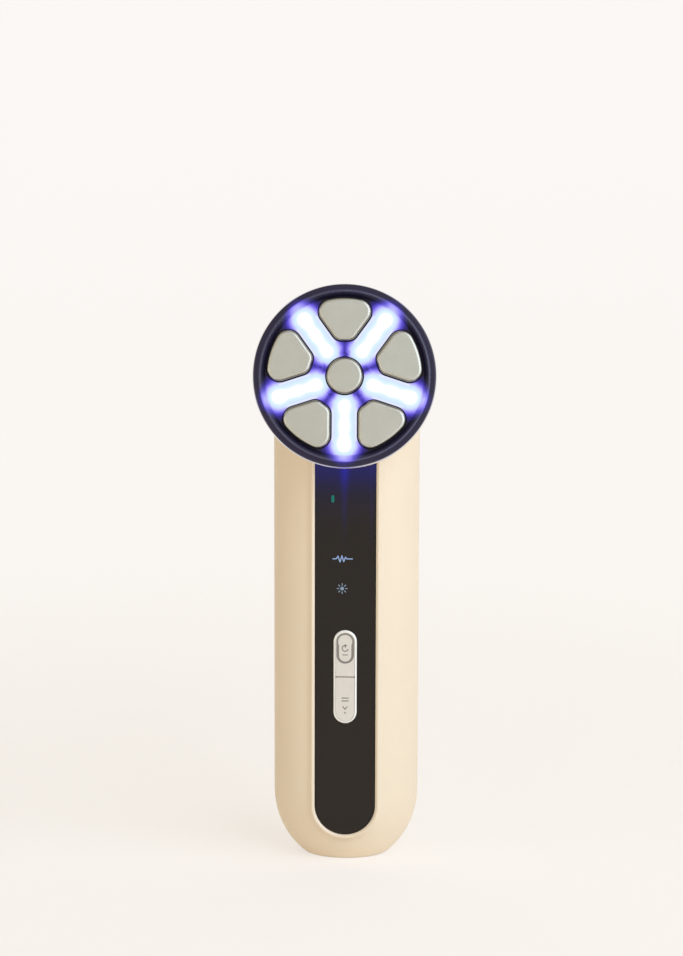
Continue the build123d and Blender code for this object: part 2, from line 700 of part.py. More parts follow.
# Bezel round both keys, held from behind by its flange
with BuildPart() as key_bezel:
    with BuildSketch(front(floor_back - BEZEL_FLANGE)):
        add(upright_slot(KEYS_HALF, KEYS_LENGTH, KEYS_Z))
    extrude(amount=BEZEL_DEPTH - floor_back + BEZEL_FLANGE)
    chamfer(key_bezel.faces().sort_by(Axis.Y)[0].edges(), BEZEL_CHAMFER)
    with BuildSketch(front(floor_back - BEZEL_FLANGE)):
        add(upright_slot(KEYS_HALF + BEZEL_FLANGE_GROW, KEYS_LENGTH + 2 * BEZEL_FLANGE_GROW, KEYS_Z))
    extrude(amount=BEZEL_FLANGE - HOLE_EASE)
    with BuildSketch(front(BEZEL_DEPTH)):
        add(upright_slot(KEYS_HALF - BEZEL_RIM, KEYS_LENGTH - 2 * BEZEL_RIM, KEYS_Z))
    extrude(amount=-(BEZEL_DEPTH - floor_back + BEZEL_FLANGE), mode=Mode.SUBTRACT)
finish(key_bezel, "key_bezel")

key_half = KEYS_HALF - BEZEL_RIM - KEY_CLEARANCE
key_length = KEYS_LENGTH - 2 * BEZEL_RIM - 2 * KEY_CLEARANCE
flange_front = floor_back - BEZEL_FLANGE - KEY_REST_GAP
thumb_z = KEYS_Z + KEYS_LENGTH / 2 - THUMB_TOP_MARGIN - THUMB_LENGTH / 2
island_top = thumb_z + THUMB_LENGTH / 2 - THUMB_GROOVE_TOP
island_foot = thumb_z - THUMB_LENGTH / 2 + THUMB_GROOVE_FOOT

for name, side in (("power", 1), ("mode", -1)):
    with BuildPart() as key:
        with BuildSketch(front(flange_front)):
            add(upright_slot(key_half, key_length, KEYS_Z))
        extrude(amount=KEY_DEPTH - flange_front)
        with BuildSketch(front(flange_front - KEY_FLANGE)):
            add(upright_slot(KEYS_HALF, KEYS_LENGTH, KEYS_Z))
        extrude(amount=KEY_FLANGE)
        split(bisect_by=Plane.XY.offset(KEYS_Z + side * KEY_GAP / 2),
              keep=Keep.TOP if side > 0 else Keep.BOTTOM)
        corners = key.edges().filter_by(Axis.Y).group_by(Axis.Z)[0 if side > 0 else -1]
        fillet(corners.filter_by_position(Axis.X, -key_half - EASE, key_half + EASE), KEY_CORNER)
        fillet(key.faces().sort_by(Axis.Y)[0].edges(), KEY_ROUND)
        with BuildSketch(front(switch_top + HOLE_EASE)):
            with Locations((0, key_z[name])):
                Circle(PLUNGER_RADIUS + PLUNGER_PAD)
        extrude(amount=flange_front - switch_top - HOLE_EASE)
        if name == "power":
            with BuildSketch(front(KEY_DEPTH)):
                add(upright_slot(THUMB_HALF, THUMB_LENGTH, thumb_z))
                with Locations((0, island_top - THUMB_HEAD)):
                    Circle(THUMB_HEAD, mode=Mode.SUBTRACT)
                add(upright_slot(THUMB_WAIST, island_top - island_foot, (island_top + island_foot) / 2),
                    mode=Mode.SUBTRACT)
            extrude(amount=-THUMB_GROOVE_DEEP, mode=Mode.SUBTRACT)
    finish(key, f"{name}_key")

    with BuildPart() as plunger:
        with BuildSketch(front(switch_front - KEY_TRAVEL)):
            with Locations((0, key_z[name])):
                Circle(PLUNGER_RADIUS)
        extrude(amount=switch_top - switch_front + KEY_TRAVEL)
    finish(plunger, f"{name}_plunger")

    with BuildPart() as switch:
        with BuildSketch(front(BOARD_DEPTH)):
            with Locations((0, key_z[name])):
                Rectangle(SWITCH_SIDE, SWITCH_SIDE)
        extrude(amount=SWITCH_HEIGHT)
        with BuildSketch(front(switch_front)):
            with Locations((0, key_z[name])):
                Circle(PLUNGER_RADIUS + EASE)
        extrude(amount=-SWITCH_WELL, mode=Mode.SUBTRACT)
    finish(switch, f"{name}_switch")

# ---------------------------------------------------------------- electronics in the handle

with BuildPart() as main_board:
    with BuildSketch(front(board_back)):
        add(handle_curve(BOARD_INSET))
        make_face()
        with Locations((0, (BOARD_LOW_Z + BOARD_HIGH_Z) / 2)):
            Rectangle(2 * BOARD_HALF, BOARD_HIGH_Z - BOARD_LOW_Z, mode=Mode.INTERSECT)
        with Locations(*SHELL_SCREWS):
            Circle(SCREW_RADIUS + EASE, mode=Mode.SUBTRACT)
        with Locations(*TRAY_POSTS):
            Circle(TRAY_SCREW_RADIUS + EASE, mode=Mode.SUBTRACT)
    extrude(amount=BOARD_THICK)
finish(main_board, "main_board")

# White block that keeps the light of each mark apart
with BuildPart() as light_guide:
    with BuildSketch(front(BOARD_DEPTH + HOLE_EASE)):
        with Locations((GUIDE_X, GUIDE_Z)):
            RectangleRounded(*GUIDE_SIZE, 1)
        for place, size in LIT_MARKS.values():
            with Locations(place):
                Rectangle(*size, mode=Mode.SUBTRACT)
    extrude(amount=floor_back - BOARD_DEPTH - 2 * HOLE_EASE)
finish(light_guide, "light_guide")

# Clear blocks at the front of the light guide, right behind the panel
with BuildPart() as mark_lenses:
    with BuildSketch(front(floor_face - LENS_DEEP)):
        for place, size in LIT_MARKS.values():
            with Locations(place):
                Rectangle(size[0] - EASE, size[1] - EASE)
    extrude(amount=LENS_DEEP - EASE / 2)
finish(mark_lenses, "mark_lenses")

with BuildPart() as mark_leds:
    with BuildSketch(front(BOARD_DEPTH)):
        for place, size in LIT_MARKS.values():
            with Locations(place):
                Rectangle(MARK_LED_SIZE, MARK_LED_SIZE)
    extrude(amount=LED_HEIGHT)
finish(mark_leds, "mark_leds")

# Transformer that makes the pulses: a U core with a winding in it
with BuildPart() as transformer_core:
    with BuildSketch(front(BOARD_DEPTH)):
        with Locations((0, TRANSFORMER_Z)):
            Rectangle(TRANSFORMER_SIZE[0], TRANSFORMER_SIZE[2])
    extrude(amount=TRANSFORMER_SIZE[1])
    with BuildSketch(front(BOARD_DEPTH + CORE_WALL)):
        with Locations((0, TRANSFORMER_Z)):
            Rectangle(TRANSFORMER_SIZE[0] - 2 * CORE_WALL, TRANSFORMER_SIZE[2])
    extrude(amount=TRANSFORMER_SIZE[1], mode=Mode.SUBTRACT)
finish(transformer_core, "transformer_core")

with BuildPart() as transformer_winding:
    with BuildSketch(front(BOARD_DEPTH + CORE_WALL)):
        with Locations((0, TRANSFORMER_Z)):
            Rectangle(TRANSFORMER_SIZE[0] - 2 * CORE_WALL - EASE, TRANSFORMER_SIZE[2] - EASE)
    extrude(amount=TRANSFORMER_SIZE[1] - CORE_WALL)
    fillet(transformer_winding.edges().filter_by(Axis.X), CORE_WALL / 2)
finish(transformer_winding, "transformer_winding")

with BuildPart() as capacitors:
    with BuildSketch(front(BOARD_DEPTH)):
        with Locations(*CAPACITORS):
            Circle(CAPACITOR_RADIUS)
    extrude(amount=CAPACITOR_HEIGHT)
    fillet(capacitors.faces().sort_by(Axis.Y)[:2].edges(), CAPACITOR_RADIUS / 5)
finish(capacitors, "capacitors")

# Controller in front, pulse driver and charger behind
with BuildPart() as control_chips:
    with BuildSketch(front(BOARD_DEPTH)):
        with Locations(CONTROLLER_AT):
            Rectangle(CONTROLLER_SIDE, CONTROLLER_SIDE)
    extrude(amount=CHIP_HEIGHT)
    with BuildSketch(front(board_back)):
        with Locations(DRIVER_AT):
            Rectangle(CONTROLLER_SIDE, CONTROLLER_SIDE)
        with Locations(CHARGER_AT):
            Rectangle(CONTROLLER_SIDE / 2, CONTROLLER_SIDE / 2)
    extrude(amount=-CHIP_HEIGHT)
finish(control_chips, "control_chips")

# Tray behind the board, which holds the battery
with BuildPart() as battery_tray:
    with BuildSketch(front(-TRAY_Y)):
        with Locations((0, TRAY_MIDDLE_Z)):
            RectangleRounded(*TRAY_SIZE, 2)
        with Locations((0, TRAY_MIDDLE_Z + TRAY_SIZE[1] / 2)):
            Rectangle(*TRAY_NOTCH, mode=Mode.SUBTRACT)
    extrude(amount=-TRAY_THICK)
    with BuildSketch(front(-TRAY_Y)):
        with Locations(*TRAY_POSTS):
            Circle(TRAY_POST_RADIUS)
    extrude(amount=TRAY_Y + board_back)
    with BuildSketch(front(board_back)):
        with Locations(*TRAY_POSTS):
            Circle(TRAY_SCREW_RADIUS + HOLE_EASE)
    extrude(amount=-(TRAY_Y + board_back), mode=Mode.SUBTRACT)
    with BuildSketch(front(-TRAY_Y - TRAY_THICK)):
        with Locations((0, battery_z)):
            Rectangle(BATTERY_SIZE[0] + 2 * TRAY_THICK + 2 * EASE, BATTERY_SIZE[2])
            Rectangle(BATTERY_SIZE[0] + 2 * EASE, BATTERY_SIZE[2], mode=Mode.SUBTRACT)
    extrude(amount=-BATTERY_SIZE[1] / 2)
finish(battery_tray, "battery_tray")

with BuildPart() as battery_tape:
    with BuildSketch(front(-TRAY_Y - TRAY_THICK)):
        with Locations((0, battery_z)):
            Rectangle(BATTERY_SIZE[0] - 2 * BATTERY_TAPE_MARGIN, BATTERY_SIZE[2] - 2 * BATTERY_TAPE_MARGIN)
    extrude(amount=-TAPE_THICK)
finish(battery_tape, "battery_tape")

with BuildPart() as battery:
    with BuildSketch(front(-battery_front)):
        with Locations((0, battery_z)):
            Rectangle(BATTERY_SIZE[0], BATTERY_SIZE[2])
    extrude(amount=-BATTERY_SIZE[1])
    fillet(battery.edges().filter_by(Axis.Z), BATTERY_SIZE[1] / 3)
finish(battery, "battery")

# Red and black leads from the battery to its plug
with BuildPart() as battery_leads:
    for x in LEAD_X:
        with BuildLine() as route:
            FilletPolyline((x, battery_front + BATTERY_SIZE[1] / 2, battery_top),
                           (x, battery_front + BATTERY_SIZE[1] / 2, battery_top + LEAD_RISE),
                           (x, PLUG_Y, PLUG_LOW_Z - LEAD_DROP),
                           (x, PLUG_Y, PLUG_LOW_Z), radius=LEAD_BEND)
        with BuildSketch(Plane(origin=route.line @ 0, z_dir=(0, 0, 1))):
            Circle(LEAD_RADIUS)
        sweep(path=route.line)
finish(battery_leads, "battery_leads")

with BuildPart() as battery_plug:
    with BuildSketch(front(board_back)):
        with Locations((0, PLUG_LOW_Z + PLUG_SIZE[2] / 2)):
            Rectangle(PLUG_SIZE[0], PLUG_SIZE[2])
    extrude(amount=-PLUG_SIZE[1])
finish(battery_plug, "battery_plug")

# Charging socket: a metal shell with a tongue, mouth down through the port plate
with BuildPart() as usb_shell:
    with BuildSketch(Plane.XY.offset(PORT_LOW_Z)):
        with Locations((0, PORT_Y)):
            SlotOverall(PORT_SIZE[0], PORT_SIZE[1])
            SlotOverall(PORT_SIZE[0] - 2 * PORT_WALL, PORT_SIZE[1] - 2 * PORT_WALL, mode=Mode.SUBTRACT)
    extrude(amount=PORT_SIZE[2])
    with BuildSketch(Plane.XY.offset(PORT_LOW_Z + PORT_SIZE[2] - PORT_WALL)):
        with Locations((0, PORT_Y)):
            SlotOverall(PORT_SIZE[0], PORT_SIZE[1])
    extrude(amount=PORT_WALL)
finish(usb_shell, "usb_shell")

with BuildPart() as usb_tongue:
    with BuildSketch(Plane.XY.offset(PORT_LOW_Z + TONGUE_INSET)):
        with Locations((0, PORT_Y)):
            Rectangle(*TONGUE_SIZE)
    extrude(amount=PORT_SIZE[2] - PORT_WALL - TONGUE_INSET)
finish(usb_tongue, "usb_tongue")

# Flat cable from the light board down to the main board, and its two sockets
cable_start = HEAD.from_local_coords(Vector(0, CABLE_DROP, board_seat - SOCKET_HEIGHT))
with BuildPart() as head_cable:
    with BuildLine() as cable_route:
        FilletPolyline(cable_start, (0, CABLE_MID_Y, cable_start.Z - CABLE_FALL),
                       (0, CABLE_END_Y, CABLE_TURN_Z), (0, CABLE_END_Y, BOARD_HIGH_Z - HOLE_EASE),
                       radius=CABLE_BEND)
    start = cable_route.line % 0
    with BuildSketch(Plane(origin=cable_route.line @ 0, x_dir=(1, 0, 0), z_dir=start)):
        Rectangle(CABLE_WIDTH, CABLE_THICK)
    sweep(path=cable_route.line)
finish(head_cable, "head_cable")

with BuildPart() as cable_sockets:
    with BuildSketch(HEAD.offset(board_seat)):
        with Locations((0, CABLE_DROP)):
            Rectangle(CABLE_WIDTH + 2 * SOCKET_SIDE, SOCKET_DEEP)
    extrude(amount=-SOCKET_HEIGHT)
    with BuildSketch(front(BOARD_DEPTH)):
        with Locations((0, BOARD_HIGH_Z - SOCKET_DEEP / 2 - EASE / 2)):
            Rectangle(CABLE_WIDTH + 2 * SOCKET_SIDE, SOCKET_DEEP - EASE)
    extrude(amount=SOCKET_HEIGHT)
finish(cable_sockets, "cable_sockets")

# ---------------------------------------------------------------- screws

with BuildPart() as shell_screws:
    with BuildSketch(front(floor_face - SCREW_HEAD_HEIGHT - EASE)):
        with Locations(*SHELL_SCREWS):
            Circle(SCREW_HEAD_RADIUS)
    extrude(amount=SCREW_HEAD_HEIGHT)
    fillet(shell_screws.faces().sort_by(Axis.Y)[:4].edges(), SCREW_HEAD_HEIGHT / 3)
    with BuildSketch(front(floor_face - SCREW_HEAD_HEIGHT - EASE)):
        with Locations(*SHELL_SCREWS):
            Circle(SCREW_RADIUS)
    extrude(amount=-SCREW_LENGTH)
finish(shell_screws, "shell_screws")

with BuildPart() as board_screws:
    with BuildSketch(front(BOARD_DEPTH)):
        with Locations(*TRAY_POSTS):
            Circle(2 * TRAY_SCREW_RADIUS)
    extrude(amount=TRAY_SCREW_RADIUS)
    with BuildSketch(front(BOARD_DEPTH)):
        with Locations(*TRAY_POSTS):
            Circle(TRAY_SCREW_RADIUS)
    extrude(amount=-TRAY_SCREW_LENGTH)
finish(board_screws, "board_screws")
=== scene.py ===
"""Looks of a hand-held facial toning device: its finishes, marks, floor, light and camera."""
from functools import cached_property
from math import atan2, cos, pi, radians, sin

import bpy
from mathutils import Matrix, Vector


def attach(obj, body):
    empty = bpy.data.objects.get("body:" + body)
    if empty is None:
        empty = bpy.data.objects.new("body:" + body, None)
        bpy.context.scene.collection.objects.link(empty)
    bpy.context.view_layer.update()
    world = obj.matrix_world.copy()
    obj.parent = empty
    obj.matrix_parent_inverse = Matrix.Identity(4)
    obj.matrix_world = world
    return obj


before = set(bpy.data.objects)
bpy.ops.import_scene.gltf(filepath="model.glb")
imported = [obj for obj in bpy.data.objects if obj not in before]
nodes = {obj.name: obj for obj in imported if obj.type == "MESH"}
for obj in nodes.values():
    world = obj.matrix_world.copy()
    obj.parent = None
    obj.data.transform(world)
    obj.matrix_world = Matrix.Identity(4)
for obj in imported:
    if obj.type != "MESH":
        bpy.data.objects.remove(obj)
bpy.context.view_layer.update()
MM = 0.001

# Head, in millimetres: its middle, its tilt, and the rows of lights between the electrodes
HEAD_FORWARD = 30.0
HEAD_HIGH = 136.3
HEAD_TILT = radians(10.5)
ROW_TURN = radians(72)
ROW_START = 7.6
ROW_END = 17.8
ROW_PART = 4.6              # how far out two rows part, beside the middle electrode
ROW_RIM = 2.98              # how far across the pale rim of a row is
LIGHTS = ((7.8, 1.6, 1.25), (12.9, 1.15, 1.2), (18.0, 2.4, 1.35))     # how far out, how strong, how wide
CENTRE_EDGE = 4.7
RING_BORE = 20.6
RING_BEAD = 21.85
RING_EDGE = 23.6

# Panel and keys, in millimetres
PANEL_DEPTH = 12.75
PANEL_EDGE = 7.75
STREAK_X = -0.3             # the painted streak of light that runs down the panel from the lowest row
EDGE_LINE_X = 6.85          # the thin painted line of light beside the panel's right edge
KEY_DEPTH = 13.1
GROOVE_DEEP = 0.22
PRINT_PROUD = 0.03

# ---------------------------------------------------------------- shader arithmetic


class Value:
    """What a shader socket gives, with arithmetic that adds the nodes for it."""

    def __init__(self, shader, socket):
        self.shader = shader
        self.socket = socket

    def math(self, operation, *values):
        return self.shader.node("Math", dict(enumerate(values)), operation=operation)

    def __add__(self, other):
        return self.math("ADD", self, other)

    def __sub__(self, other):
        return self.math("SUBTRACT", self, other)

    def __rsub__(self, other):
        return self.math("SUBTRACT", other, self)

    def __mul__(self, other):
        return self.math("MULTIPLY", self, other)

    def __pow__(self, other):
        return self.math("POWER", self, other)

    def __abs__(self):
        return self.math("ABSOLUTE", self)

    __radd__ = __add__
    __rmul__ = __mul__


def most(one, other):
    return one.math("MAXIMUM", one, other)


def sine(value):
    return value.math("SINE", value)


def cosine(value):
    return value.math("COSINE", value)


def step(value, low, high):
    """0 below low and 1 above high, with a smooth rise between them. Low may be the larger."""
    if low > high:
        return 1 - step(value, high, low)
    sockets = {"Value": value, "From Min": low, "From Max": high}
    return value.shader.node("MapRange", sockets, interpolation_type="SMOOTHSTEP")


def bell(value, spread):
    """1 where the value is 0, and less as it grows, as a bell curve."""
    return value.math("EXPONENT", value * value * (-0.5 / spread**2))


def tone(red, green, blue):
    """A colour given as 0 to 255 on a screen, as a socket holds it."""
    return tuple(((part / 255 + 0.055) / 1.055) ** 2.4 for part in (red, green, blue)) + (1.0,)


def scaled(colour, share):
    """The colour made darker by a share under 1, or paler by one over 1."""
    return tuple(part * share for part in colour[:3]) + (1.0,)


BLACK = (0.0, 0.0, 0.0, 1.0)


class Shader:
    """The nodes of one material, or of the world, as they are put together."""

    def __init__(self, owner):
        owner.use_nodes = True
        self.owner = owner
        self.tree = owner.node_tree
        self.tree.nodes.clear()

    @cached_property
    def place(self):
        """The place on the object in metres."""
        return self.node("TexCoord", output="Object")

    def node(self, kind, sockets=None, output=0, stops=None, **settings):
        """Add a node: its settings first, then the values and links of its sockets."""
        made = self.tree.nodes.new("ShaderNode" + kind)
        for name, setting in settings.items():
            setattr(made, name, setting)
        if stops:
            ramp = made.color_ramp.elements
            while len(ramp) < len(stops):
                ramp.new(0.5)
            for element, (position, colour) in zip(ramp, stops):
                element.position = position
                element.color = colour
        for name, value in (sockets or {}).items():
            if isinstance(value, Value):
                self.tree.links.new(value.socket, made.inputs[name])
            else:
                made.inputs[name].default_value = value
        return Value(self, made.outputs[output]) if made.outputs else None

    def axes(self):
        """The place on the object in millimetres, as x, y and z."""
        outputs = self.node("SeparateXYZ", {0: self.place}).socket.node.outputs
        return [Value(self, outputs[name]) * (1 / MM) for name in "XYZ"]

    def mix(self, share, one, other):
        """One colour where share is 0, the other where it is 1."""
        return self.node("Mix", {0: share, 6: one, 7: other}, output=2, data_type="RGBA")

    def noise(self, size_mm, detail=3.0, rough=0.5, stretch=None):
        """Cloudy noise from 0 to 1 whose features are about this large."""
        place = self.place
        if stretch:
            place = self.node("Mapping", {"Vector": place, "Scale": stretch})
        sockets = {"Vector": place, "Scale": 1 / (size_mm * MM), "Detail": detail, "Roughness": rough}
        return self.node("TexNoise", sockets)

    def bump(self, height, deep_mm):
        return self.node("Bump", {"Height": height, "Distance": deep_mm * MM})

    def finish(self, **sockets):
        """End in a Principled surface, with socket names written with _ for a space."""
        named = {name.replace("_", " "): value for name, value in sockets.items()}
        surface = self.node("BsdfPrincipled", named)
        self.node("OutputMaterial", {"Surface": surface})
        return self.owner


def material_shader(name):
    return Shader(bpy.data.materials.new(name))


# ---------------------------------------------------------------- light of the head

# How far from a row, in millimetres, and the colour of its light there
GLOW = (
    (0.95, tone(255, 255, 255)),
    (1.5, tone(222, 245, 252)),
    (2.5, tone(211, 232, 252)),
    (3.1, tone(203, 213, 252)),
    (3.5, tone(186, 184, 253)),
    (4.0, tone(146, 134, 245)),
    (4.6, tone(86, 71, 206)),
    (5.4, tone(39, 29, 121)),
    (6.7, tone(9, 5, 25)),
)
GLOW_END = 7.0


def head_place(shader):
    """Right, up and out on the head in millimetres, and the distance from its axis."""
    x, y, z = shader.axes()
    back = y + HEAD_FORWARD
    rise = z - HEAD_HIGH
    up = back * sin(HEAD_TILT) + rise * cos(HEAD_TILT)
    out = rise * sin(HEAD_TILT) - back * cos(HEAD_TILT)
    radius = (x * x + up * up) ** 0.5
    return x, up, out, radius


def row_place(shader):
    """How far along and across the nearest row of lights a place on the head is, in millimetres."""
    x, up, _, radius = head_place(shader)
    turn = x.math("ARCTAN2", x, up)
    off_row = turn.math("FLOORED_MODULO", turn, ROW_TURN) - ROW_TURN / 2
    return radius * cosine(off_row), abs(radius * sine(off_row))


def light_reach(along, across):
    """How far a place is from the glow of its row of lights, in millimetres."""
    past = most(most(ROW_START - along, along - ROW_END), 0)
    reach = (across * across + past * past) ** 0.5 + 0.22
    for place, strong, wide in LIGHTS:
        off = along - place
        reach = reach - bell((off * off + across * across) ** 0.5, wide) * strong
    return reach


def glow(shader, reach):
    """The colour of the light this far from a row."""
    stops = [(far / GLOW_END, colour) for far, colour in GLOW]
    return shader.node("ValToRGB", {0: reach * (1 / GLOW_END)}, stops=stops)


# ---------------------------------------------------------------- finishes of the outside

CREAM = tone(233, 213, 184)


def cream_plastic():
    """Satin cream moulding, with painted shade under the edge of the ring and the head's light painted as a
    glow on the rim of its cup.
    """
    shader = material_shader("cream_plastic")
    _, up, out, radius = head_place(shader)
    grain = shader.noise(0.25)
    cloud = shader.noise(14)
    cream = shader.mix(cloud, scaled(CREAM, 0.975), scaled(CREAM, 1.025))
    # Painted shade: the rim of the cup under the ring's edge is near black.
    rim = step(radius, RING_EDGE - 0.4, RING_EDGE) * step(out, -1.8, -1.4)
    # Painted light: the head's light as a glow on the outer lip of the cup, lavender low down and violet
    # where the rows end.
    lit = rim * step(radius, RING_EDGE - 0.1, RING_EDGE + 0.25)
    along, across = row_place(shader)
    row_end = bell(across, 2.6) * step(along, 21, 23)
    low = step(up, -15, -22)
    halo = shader.mix(low, tone(240, 236, 234), tone(206, 203, 216))
    halo = shader.mix(row_end * (low * 0.7 + 0.3), halo, tone(132, 128, 206))
    return shader.finish(
        Base_Color=shader.mix(rim, cream, tone(30, 28, 34)),
        Roughness=0.48 + (cloud - 0.5) * 0.06 + (grain - 0.5) * 0.05,
        Specular_IOR_Level=0.9,
        Emission_Color=shader.mix(lit, BLACK, halo),
        Emission_Strength=1.0,
        Normal=shader.bump(grain, 0.0025),
    )


def lit_window():
    """Smoked window with the lights shining through between the electrodes."""
    shader = material_shader("lit_window")
    ripple = shader.noise(1.4, detail=2.0) - 0.5
    patch = shader.noise(0.9, detail=1.0) - 0.5
    haze = shader.noise(0.3)
    along, across = row_place(shader)
    between_rows = step(across, 1.6, 2.8) * bell(along - ROW_PART, 1.0)
    reach = light_reach(along, across) + ripple * 0.4 + between_rows * (patch * 1.6 + 0.55)
    beside_lights = step(along, ROW_START, ROW_START + 1.6) * step(along, ROW_END - 0.4, ROW_END - 1.4)
    rim = bell(across - ROW_RIM, 0.2) * beside_lights
    return shader.finish(
        Base_Color=shader.mix(haze, tone(16, 13, 30), tone(24, 20, 42)),
        Roughness=0.16 + haze * 0.06,
        Emission_Color=shader.mix(rim * 0.7, glow(shader, reach), tone(240, 247, 250)),
        Emission_Strength=1.0,
        Normal=shader.bump(haze, 0.002),
    )


def dark_ring():
    """Satin dark ring, with the light of the rows painted as a glow on its inner slope and bead, painted
    shade deepening down the slope to the bore, and a painted highlight along the bead.
    """
    shader = material_shader("dark_ring")
    _, _, _, radius = head_place(shader)
    grain = shader.noise(0.22)
    cloud = shader.noise(6)
    ripple = shader.noise(1.2, detail=2.0) - 0.5
    along, across = row_place(shader)
    # Painted light: the glow of the rows on the inner slope and bead.
    outside = step(radius, RING_BEAD + 0.3, RING_BEAD + 0.7)
    bead = step(radius, RING_BORE, RING_BEAD)
    reach = light_reach(along, across * (1 + bead * 0.25))
    reach = reach + ripple * 0.5 + 0.35 - bead * 0.75 + outside * 0.95
    # Painted shade: the inner slope near black at the bore, paler towards the bead.
    slope = shader.mix(step(radius, RING_BORE + 0.1, RING_BEAD), tone(9, 7, 12), tone(46, 44, 60))
    # Painted highlight: a paler line along the bead.
    slope = shader.mix(bell(radius - RING_BEAD - 0.25, 0.22), slope, tone(78, 76, 96))
    band = shader.mix(cloud, tone(32, 27, 43), tone(39, 34, 51))
    return shader.finish(
        Base_Color=shader.mix(step(radius, RING_BEAD + 0.3, RING_BEAD + 0.5), slope, band),
        Roughness=0.34 + (grain - 0.5) * 0.12 + (cloud - 0.5) * 0.06,
        Specular_IOR_Level=0.35,
        Emission_Color=glow(shader, reach),
        Emission_Strength=0.95,
        Normal=shader.bump(grain, 0.002),
    )


def electrode_metal():
    """Bead-blasted nickel plate, a little smoother where the edges turn down, with painted shade darkening
    those edges, most beside the rows of lights and round the middle electrode.
    """
    shader = material_shader("electrode_metal")
    _, _, out, radius = head_place(shader)
    blast = shader.noise(0.12)
    cloud = shader.noise(3.5)
    edge = step(out, 0.22, -0.05)
    _, across = row_place(shader)
    beside_row = step(across, 4.7, 4.1)
    centre = step(radius, CENTRE_EDGE + 0.5, CENTRE_EDGE - 0.5)
    # Painted shade: darker where the edges turn down, and most beside the rows and round the middle
    # electrode.
    painted_edge_shade = edge * 0.25 + step(out, 0.28, 0.0) * most(beside_row, centre) * 0.7
    plate = shader.mix(cloud, tone(196, 193, 179), tone(203, 200, 186))
    return shader.finish(
        Base_Color=shader.mix(painted_edge_shade, plate, tone(136, 126, 114)),
        Metallic=1.0,
        Roughness=0.5 + (blast - 0.5) * 0.16 + (cloud - 0.5) * 0.05 - edge * 0.12,
        Normal=shader.bump(blast, 0.003),
    )


def soft_rubber(name):
    """Matt black rubber or foam."""
    shader = material_shader(name)
    grain = shader.noise(0.15, detail=4.0)
    return shader.finish(
        Base_Color=shader.mix(grain, tone(8, 8, 10), tone(16, 15, 18)),
        Roughness=0.7 + (grain - 0.5) * 0.2,
        Specular_IOR_Level=0.25,
        Normal=shader.bump(grain, 0.006),
    )


def black_panel():
    """Glossy black panel, with the head's blue light painted as a glow on its upper end. Its colour is near
    black there and along its side edges.
    """
    shader = material_shader("black_panel")
    x, _, z = shader.axes()
    ripple = shader.noise(9, detail=2.0)
    dust = shader.noise(2.0, detail=2.0)
    # Painted light: the head's blue light spilling onto the upper end, with a streak down the middle and a
    # thin line by the right edge.
    far = step(z, 91, 111)
    near = step(z, 99, 110)
    off_streak = x - STREAK_X
    streak = bell(off_streak, 0.85) * near * (near * 0.38 + 0.06)
    streak = streak + bell(off_streak, 0.55) * step(z, 86, 108) * 0.13
    edge_line = bell(x - EDGE_LINE_X, 0.28) * step(z, 84, 98) * 0.045
    spill = far * 0.075 + near * near * 0.16 + streak + edge_line
    black = shader.mix(step(z, 62, 28), tone(25, 16, 7), tone(30, 21, 12))
    black = shader.mix(dust * 0.3, black, tone(30, 22, 14))
    rim = step(abs(x), PANEL_EDGE, PANEL_EDGE + 0.25) * 0.7
    return shader.finish(
        Base_Color=shader.mix(most(step(z, 96, 108) * 0.8, rim), black, tone(3, 2, 1)),
        Roughness=0.08 + dust * 0.03,
        Specular_IOR_Level=0.3,
        Emission_Color=shader.mix(spill, BLACK, tone(24, 20, 196)),
        Emission_Strength=0.7,
        Normal=shader.bump(ripple, 0.01),
    )


def key_pearl():
    """Pearl lacquer with a fine sparkle, and painted shade darkening the thumb groove."""
    shader = material_shader("key_pearl")
    _, y, _ = shader.axes()
    sparkle_mm = 0.12
    cells = {"Vector": shader.place, "Scale": 1 / (sparkle_mm * MM)}
    glint = shader.node("SeparateColor", {0: shader.node("TexVoronoi", cells, output="Color")})
    cloud = shader.noise(2.5)
    # Painted shade: the thumb groove is darker grey.
    groove = step(y, GROOVE_DEEP * 0.2 - KEY_DEPTH, GROOVE_DEEP * 0.8 - KEY_DEPTH)
    pearl = shader.mix(glint * 0.6 + cloud * 0.4, tone(214, 206, 194), tone(226, 218, 207))
    return shader.finish(
        Base_Color=shader.mix(groove, pearl, tone(140, 134, 127)),
        Metallic=0.25,
        Roughness=0.36 + (glint - 0.5) * 0.14,
        Coat_Weight=0.4,
        Coat_Roughness=0.15,
        Normal=shader.bump(glint, 0.001),
    )


def bright_bezel():
    """Pale satin bezel."""
    shader = material_shader("bright_bezel")
    fine = shader.noise(0.2, detail=4.0)
    return shader.finish(
        Base_Color=shader.mix(fine, tone(249, 244, 234), tone(254, 250, 242)),
        Metallic=0.1,
        Roughness=0.24 + fine * 0.08,
        Normal=shader.bump(fine, 0.0008),
    )


# ---------------------------------------------------------------- finishes of the inside


def moulded(name, colour, rough, grain_mm=0.25, grain_deep=0.004):
    """Moulded plastic: a fine sparked grain, and a faint drift of shade and gloss."""
    shader = material_shader(name)
    grain = shader.noise(grain_mm)
    cloud = shader.noise(14)
    fleck = shader.noise(0.9, detail=2.0)
    shade = (cloud - 0.5) * 0.06 + (fleck - 0.5) * 0.015 + 0.5
    return shader.finish(
        Base_Color=shader.mix(shade, scaled(colour, 0.93), scaled(colour, 1.07)),
        Roughness=rough + (cloud - 0.5) * 0.08 + (grain - 0.5) * 0.1,
        Normal=shader.bump(grain, grain_deep),
    )


